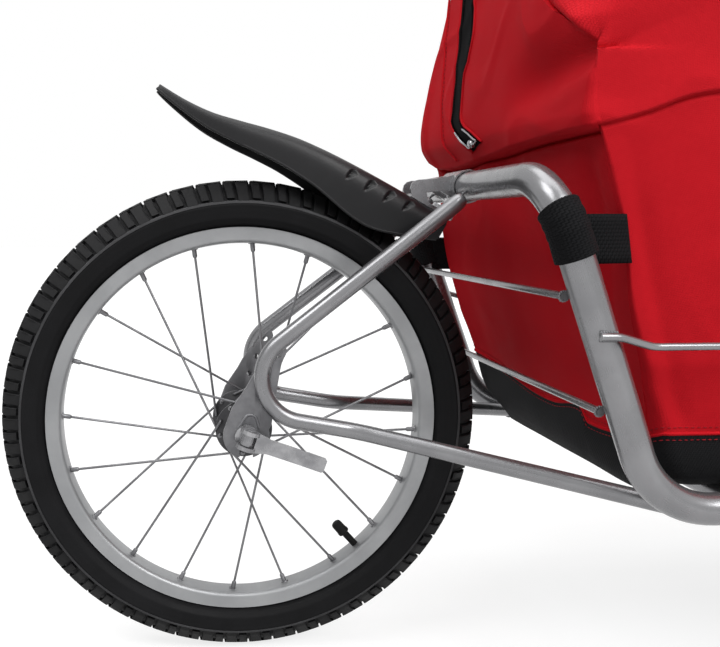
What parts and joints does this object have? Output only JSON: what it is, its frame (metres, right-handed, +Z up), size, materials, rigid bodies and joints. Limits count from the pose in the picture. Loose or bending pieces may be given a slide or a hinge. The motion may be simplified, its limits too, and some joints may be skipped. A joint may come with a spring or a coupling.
{
  "type": "single wheel bicycle trailer",
  "caption": "Bicycle trailer with one rear wheel under a mudguard, a bent tube bed, a tall fabric luggage bag, and a steering hitch fork at the front.",
  "frame": {"origin": "on the ground under the middle of the trailer's length", "axes": "+X forward along the trailer to the hitch, +Y to its left, +Z up"},
  "size_m": [1.5826, 0.383, 0.603],
  "materials": {
    "frame_steel": "satin silver tube",
    "bright_steel": "bright plated steel",
    "rim_alloy": "satin alloy",
    "tyre_rubber": "black tyre rubber",
    "tube_rubber": "black rubber",
    "black_plastic": "black plastic, slightly shiny",
    "webbing": "black woven webbing",
    "black_fabric": "black coated cloth",
    "red_fabric": "red woven cloth"
  },
  "bodies": {
    "frame": {"cone_left": "bright_steel", "cone_right": "bright_steel", "axle": "bright_steel", "skewer": "bright_steel", "release_nut": "bright_steel", "release_housing": "bright_steel", "release_pin": "bright_steel", "rear_frame": "frame_steel", "front_frame": "frame_steel", "stay_left": "frame_steel", "stay_right": "frame_steel", "rear_rod_upper": "frame_steel", "rear_rod_lower": "frame_steel", "side_rod_left": "frame_steel", "side_rod_right": "frame_steel", "mudguard": "black_plastic", "saddle_bracket": "bright_steel", "mudguard_bolt_1": "bright_steel", "mudguard_bolt_2": "bright_steel", "neck": "frame_steel", "pivot_bush": "black_plastic", "bag_base": "black_fabric", "bag_body": "red_fabric", "leg_strap_left": "webbing", "leg_strap_right": "webbing"},
    "wheel": {"tyre": "tyre_rubber", "inner_tube": "tube_rubber", "valve_cap": "black_plastic", "rim": "rim_alloy", "rim_tape": "tube_rubber", "spoke_01": "bright_steel", "spoke_02": "bright_steel", "spoke_03": "bright_steel", "spoke_04": "bright_steel", "spoke_05": "bright_steel", "spoke_06": "bright_steel", "spoke_07": "bright_steel", "spoke_08": "bright_steel", "spoke_09": "bright_steel", "spoke_10": "bright_steel", "spoke_11": "bright_steel", "spoke_12": "bright_steel", "spoke_13": "bright_steel", "spoke_14": "bright_steel", "spoke_15": "bright_steel", "spoke_16": "bright_steel", "spoke_17": "bright_steel", "spoke_18": "bright_steel", "spoke_19": "bright_steel", "spoke_20": "bright_steel", "hub_shell": "bright_steel", "bearing_left": "bright_steel", "bearing_right": "bright_steel"},
    "lever": {"release_lever": "bright_steel"},
    "fork": {"hitch_fork": "frame_steel", "pivot_bolt": "bright_steel", "pivot_nut": "bright_steel"},
    "lock_pin_left": {"lock_pin_left": "bright_steel"},
    "lock_pin_right": {"lock_pin_right": "bright_steel"}
  },
  "joints": [
    {"name": "wheel_spin", "type": "hinge", "parent": "frame", "child": "wheel", "pos_m": [-0.5973, 0, 0.194], "axis": [0, 1, 0], "continuous": true},
    {"name": "lever_swing", "type": "hinge", "parent": "frame", "child": "lever", "pos_m": [-0.5973, -0.0626, 0.194], "axis": [-0.3256, 0, -0.9455], "range_deg": [0, 170]},
    {"name": "fork_turn", "type": "hinge", "parent": "frame", "child": "fork", "pos_m": [0.3277, 0, 0.345], "axis": [0, 0, 1], "range_deg": [-60, 60]},
    {"name": "lock_pin_left_pull", "type": "slide", "parent": "fork", "child": "lock_pin_left", "axis": [1, 0, 0], "range_m": [0, 0.045]},
    {"name": "lock_pin_right_pull", "type": "slide", "parent": "fork", "child": "lock_pin_right", "axis": [1, 0, 0], "range_m": [0, 0.045]}
  ]
}
